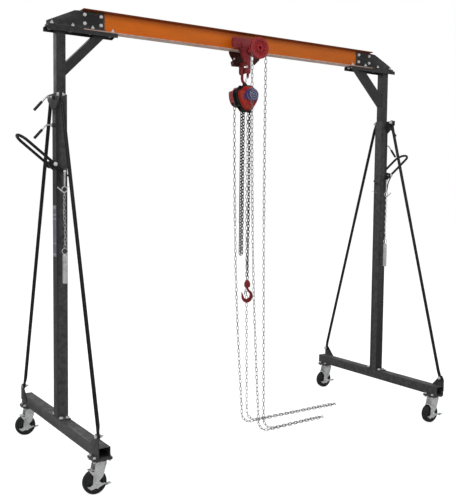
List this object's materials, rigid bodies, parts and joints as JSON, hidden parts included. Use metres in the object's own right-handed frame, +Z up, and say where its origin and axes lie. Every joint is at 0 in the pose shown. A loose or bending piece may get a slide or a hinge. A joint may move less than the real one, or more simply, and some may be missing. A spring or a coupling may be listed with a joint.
{
  "type": "portable gantry crane",
  "caption": "Wheeled steel gantry with telescoping legs, side braces and an I-beam that carries a geared trolley and a hand chain hoist.",
  "frame": {"origin": "on the floor, midway between the legs and midway along the base tubes", "axes": "+X along the beam towards the right leg, +Y along the base tubes away from the hand wheel's side, +Z up"},
  "size_m": [3.5416, 1.5, 3.088],
  "materials": {
    "black_powder_coat": "semi-gloss black powder coat",
    "orange_paint": "semi-gloss orange paint",
    "zinc_plate": "bright zinc plate",
    "caster_tyre": "matt black rubber on a dark hub",
    "crimson_paint": "semi-gloss dark red paint",
    "hoist_red_paint": "gloss red paint",
    "hoist_black_paint": "satin black paint",
    "black_alloy_chain": "blackened alloy chain"
  },
  "bodies": {
    "lower_frame_left": {"base_tube_left": "black_powder_coat", "outer_post_left": "black_powder_coat", "brace_front_left": "black_powder_coat", "brace_rear_left": "black_powder_coat"},
    "upper_frame": {"i_beam": "orange_paint", "inner_post_left": "black_powder_coat", "head_channel_left": "black_powder_coat", "knee_strut_left": "black_powder_coat", "gusset_front_left": "black_powder_coat", "gusset_rear_left": "black_powder_coat", "inner_post_right": "black_powder_coat", "head_channel_right": "black_powder_coat", "knee_strut_right": "black_powder_coat", "gusset_front_right": "black_powder_coat", "gusset_rear_right": "black_powder_coat"},
    "lower_frame_right": {"base_tube_right": "black_powder_coat", "outer_post_right": "black_powder_coat", "brace_front_right": "black_powder_coat", "brace_rear_right": "black_powder_coat"},
    "caster_front_left": {"caster_fork_front_left": "zinc_plate"},
    "caster_roll_front_left": {"caster_wheel_front_left": "caster_tyre"},
    "caster_pedal_front_left": {"caster_brake_front_left": "zinc_plate"},
    "caster_rear_left": {"caster_fork_rear_left": "zinc_plate"},
    "caster_roll_rear_left": {"caster_wheel_rear_left": "caster_tyre"},
    "caster_pedal_rear_left": {"caster_brake_rear_left": "zinc_plate"},
    "caster_front_right": {"caster_fork_front_right": "zinc_plate"},
    "caster_roll_front_right": {"caster_wheel_front_right": "caster_tyre"},
    "caster_pedal_front_right": {"caster_brake_front_right": "zinc_plate"},
    "caster_rear_right": {"caster_fork_rear_right": "zinc_plate"},
    "caster_roll_rear_right": {"caster_wheel_rear_right": "caster_tyre"},
    "caster_pedal_rear_right": {"caster_brake_rear_right": "zinc_plate"},
    "clamp_upper_left": {"clamp_screw_upper_left": "zinc_plate"},
    "clamp_lower_left": {"clamp_screw_lower_left": "zinc_plate"},
    "lever_left": {"lift_lever_left": "black_powder_coat"},
    "lift_pin_left": {"lift_chain_left": "zinc_plate"},
    "clamp_upper_right": {"clamp_screw_upper_right": "zinc_plate"},
    "clamp_lower_right": {"clamp_screw_lower_right": "zinc_plate"},
    "lever_right": {"lift_lever_right": "black_powder_coat"},
    "lift_pin_right": {"lift_chain_right": "zinc_plate"},
    "trolley": {"trolley_plate_front": "crimson_paint", "trolley_plate_rear": "crimson_paint", "trolley_suspension_bar": "crimson_paint"},
    "track_wheel_front_left": {"trolley_wheel_front_left": "zinc_plate"},
    "track_wheel_front_right": {"trolley_wheel_front_right": "zinc_plate"},
    "track_wheel_rear_left": {"trolley_wheel_rear_left": "zinc_plate"},
    "track_wheel_rear_right": {"trolley_wheel_rear_right": "zinc_plate"},
    "hand_wheel": {"trolley_hand_wheel": "crimson_paint"},
    "trolley_chain": {"trolley_hand_chain": "zinc_plate"},
    "hoist": {"hoist_frame": "hoist_black_paint", "hoist_gear_cover": "hoist_red_paint", "hoist_wheel_cover": "hoist_red_paint", "hoist_top_hook": "crimson_paint", "load_chain": "black_alloy_chain"},
    "hoist_chain": {"hoist_hand_chain": "zinc_plate"},
    "hoist_floor_chain": {"hoist_chain_tail": "zinc_plate"},
    "block": {"hook_block": "crimson_paint"},
    "slack_loop": {"slack_chain": "black_alloy_chain"},
    "hook": {"load_hook": "crimson_paint"},
    "latch": {"hook_latch": "zinc_plate"}
  },
  "joints": [
    {"name": "height_slide", "type": "slide", "parent": "lower_frame_left", "child": "upper_frame", "axis": [0, 0, 1], "range_m": [0, 0.6]},
    {"name": "right_leg_slide", "type": "slide", "parent": "upper_frame", "child": "lower_frame_right", "axis": [0, 0, -1], "range_m": [0, 0.6]},
    {"name": "caster_swivel_front_left", "type": "hinge", "parent": "lower_frame_left", "child": "caster_front_left", "pos_m": [-1.473, -0.678, 0.203], "axis": [0, 0, 1], "continuous": true},
    {"name": "wheel_spin_front_left", "type": "hinge", "parent": "caster_front_left", "child": "caster_roll_front_left", "pos_m": [-1.51, -0.678, 0.076], "axis": [0, 1, 0], "continuous": true},
    {"name": "brake_press_front_left", "type": "hinge", "parent": "caster_front_left", "child": "caster_pedal_front_left", "pos_m": [-1.51, -0.7128, 0.076], "axis": [0, 1, 0], "range_deg": [-8, 12]},
    {"name": "caster_swivel_rear_left", "type": "hinge", "parent": "lower_frame_left", "child": "caster_rear_left", "pos_m": [-1.473, 0.678, 0.203], "axis": [0, 0, 1], "continuous": true},
    {"name": "wheel_spin_rear_left", "type": "hinge", "parent": "caster_rear_left", "child": "caster_roll_rear_left", "pos_m": [-1.51, 0.678, 0.076], "axis": [0, 1, 0], "continuous": true},
    {"name": "brake_press_rear_left", "type": "hinge", "parent": "caster_rear_left", "child": "caster_pedal_rear_left", "pos_m": [-1.51, 0.6432, 0.076], "axis": [0, 1, 0], "range_deg": [-8, 12]},
    {"name": "caster_swivel_front_right", "type": "hinge", "parent": "lower_frame_right", "child": "caster_front_right", "pos_m": [1.473, -0.678, 0.203], "axis": [0, 0, 1], "continuous": true},
    {"name": "wheel_spin_front_right", "type": "hinge", "parent": "caster_front_right", "child": "caster_roll_front_right", "pos_m": [1.436, -0.678, 0.076], "axis": [0, 1, 0], "continuous": true},
    {"name": "brake_press_front_right", "type": "hinge", "parent": "caster_front_right", "child": "caster_pedal_front_right", "pos_m": [1.436, -0.7128, 0.076], "axis": [0, 1, 0], "range_deg": [-8, 12]},
    {"name": "caster_swivel_rear_right", "type": "hinge", "parent": "lower_frame_right", "child": "caster_rear_right", "pos_m": [1.473, 0.678, 0.203], "axis": [0, 0, 1], "continuous": true},
    {"name": "wheel_spin_rear_right", "type": "hinge", "parent": "caster_rear_right", "child": "caster_roll_rear_right", "pos_m": [1.436, 0.678, 0.076], "axis": [0, 1, 0], "continuous": true},
    {"name": "brake_press_rear_right", "type": "hinge", "parent": "caster_rear_right", "child": "caster_pedal_rear_right", "pos_m": [1.436, 0.6432, 0.076], "axis": [0, 1, 0], "range_deg": [-8, 12]},
    {"name": "clamp_turn_upper_left", "type": "hinge", "parent": "lower_frame_left", "child": "clamp_upper_left", "pos_m": [-1.562, 0, 2.481], "axis": [1, 0, 0], "range_deg": [-120, 120]},
    {"name": "clamp_turn_lower_left", "type": "hinge", "parent": "lower_frame_left", "child": "clamp_lower_left", "pos_m": [-1.562, 0, 2.297], "axis": [1, 0, 0], "range_deg": [-120, 120]},
    {"name": "lever_lift_left", "type": "hinge", "parent": "lower_frame_left", "child": "lever_left", "pos_m": [-1.53, 0, 2.036], "axis": [0, -1, 0], "range_deg": [-10, 70]},
    {"name": "lift_chain_hang_left", "type": "hinge", "parent": "lever_left", "child": "lift_pin_left", "pos_m": [-1.47052, -0.081, 1.98869], "axis": [0, -1, 0], "range_deg": [-75, 15]},
    {"name": "clamp_turn_upper_right", "type": "hinge", "parent": "lower_frame_right", "child": "clamp_upper_right", "pos_m": [1.562, 0, 2.481], "axis": [1, 0, 0], "range_deg": [-120, 120]},
    {"name": "clamp_turn_lower_right", "type": "hinge", "parent": "lower_frame_right", "child": "clamp_lower_right", "pos_m": [1.562, 0, 2.297], "axis": [1, 0, 0], "range_deg": [-120, 120]},
    {"name": "lever_lift_right", "type": "hinge", "parent": "lower_frame_right", "child": "lever_right", "pos_m": [1.53, 0, 2.036], "axis": [0, 1, 0], "range_deg": [-10, 70]},
    {"name": "lift_chain_hang_right", "type": "hinge", "parent": "lever_right", "child": "lift_pin_right", "pos_m": [1.47052, -0.081, 1.98869], "axis": [0, 1, 0], "range_deg": [-75, 15]},
    {"name": "trolley_travel", "type": "slide", "parent": "upper_frame", "child": "trolley", "axis": [1, 0, 0], "range_m": [-0.94, 0.87]},
    {"name": "track_wheel_spin_front_left", "type": "hinge", "parent": "trolley", "child": "track_wheel_front_left", "pos_m": [-0.042, -0.028, 2.9843], "axis": [0, 1, 0], "range_deg": [-2000, 2000]},
    {"name": "track_wheel_spin_front_right", "type": "hinge", "parent": "trolley", "child": "track_wheel_front_right", "pos_m": [0.082, -0.028, 2.9843], "axis": [0, 1, 0], "range_deg": [-2000, 2000]},
    {"name": "track_wheel_spin_rear_left", "type": "hinge", "parent": "trolley", "child": "track_wheel_rear_left", "pos_m": [-0.042, 0.028, 2.9843], "axis": [0, 1, 0], "range_deg": [-2000, 2000]},
    {"name": "track_wheel_spin_rear_right", "type": "hinge", "parent": "trolley", "child": "track_wheel_rear_right", "pos_m": [0.082, 0.028, 2.9843], "axis": [0, 1, 0], "range_deg": [-2000, 2000]},
    {"name": "hand_wheel_spin", "type": "hinge", "parent": "trolley", "child": "hand_wheel", "pos_m": [0.02, -0.188, 2.95], "axis": [0, 1, 0], "range_deg": [-6400, 6400]},
    {"name": "trolley_chain_drop", "type": "slide", "parent": "trolley", "child": "trolley_chain", "axis": [0, 0, -1], "range_m": [0, 0.6], "deforming": ["trolley_hand_chain"]},
    {"name": "hoist_swing", "type": "hinge", "parent": "trolley", "child": "hoist", "pos_m": [0.02, 0, 2.8], "axis": [0, 1, 0], "range_deg": [-8, 8]},
    {"name": "hoist_chain_hang", "type": "hinge", "parent": "hoist", "child": "hoist_chain", "pos_m": [0.034, 0.07, 2.61], "axis": [0, 1, 0], "range_deg": [-9, 9]},
    {"name": "hoist_chain_drop", "type": "slide", "parent": "hoist_chain", "child": "hoist_floor_chain", "axis": [0, 0, -1], "range_m": [0, 0.6], "deforming": ["hoist_hand_chain", "hoist_chain_tail"]},
    {"name": "hook_lift", "type": "slide", "parent": "hoist", "child": "block", "axis": [0, 0, 1], "range_m": [-0.95, 1.2], "deforming": ["load_chain"]},
    {"name": "slack_travel", "type": "slide", "parent": "hoist", "child": "slack_loop", "axis": [0, 0, 1], "range_m": [-0.62, 0.5], "deforming": ["slack_chain"]},
    {"name": "hook_swivel", "type": "hinge", "parent": "block", "child": "hook", "pos_m": [0.066, 0, 1.118], "axis": [0, 0, 1], "continuous": true},
    {"name": "latch_open", "type": "hinge", "parent": "hook", "child": "latch", "pos_m": [0.0505, 0, 1.1], "axis": [0, -1, 0], "range_deg": [0, 35]}
  ],
  "couplings": [
    {"joint": "right_leg_slide", "follows": "height_slide", "ratio": 1},
    {"joint": "trolley_chain_drop", "follows": "height_slide", "ratio": 1},
    {"joint": "hoist_chain_drop", "follows": "height_slide", "ratio": 1},
    {"joint": "lift_chain_hang_left", "follows": "lever_lift_left", "ratio": -1},
    {"joint": "lift_chain_hang_right", "follows": "lever_lift_right", "ratio": -1},
    {"joint": "track_wheel_spin_front_left", "follows": "trolley_travel", "rad_per_m": 33.333},
    {"joint": "track_wheel_spin_front_right", "follows": "trolley_travel", "rad_per_m": 33.333},
    {"joint": "track_wheel_spin_rear_left", "follows": "trolley_travel", "rad_per_m": 33.333},
    {"joint": "track_wheel_spin_rear_right", "follows": "trolley_travel", "rad_per_m": 33.333},
    {"joint": "hand_wheel_spin", "follows": "trolley_travel", "rad_per_m": -116.67},
    {"joint": "hoist_chain_hang", "follows": "hoist_swing", "ratio": -1},
    {"joint": "slack_travel", "follows": "hook_lift", "ratio": -0.5}
  ]
}
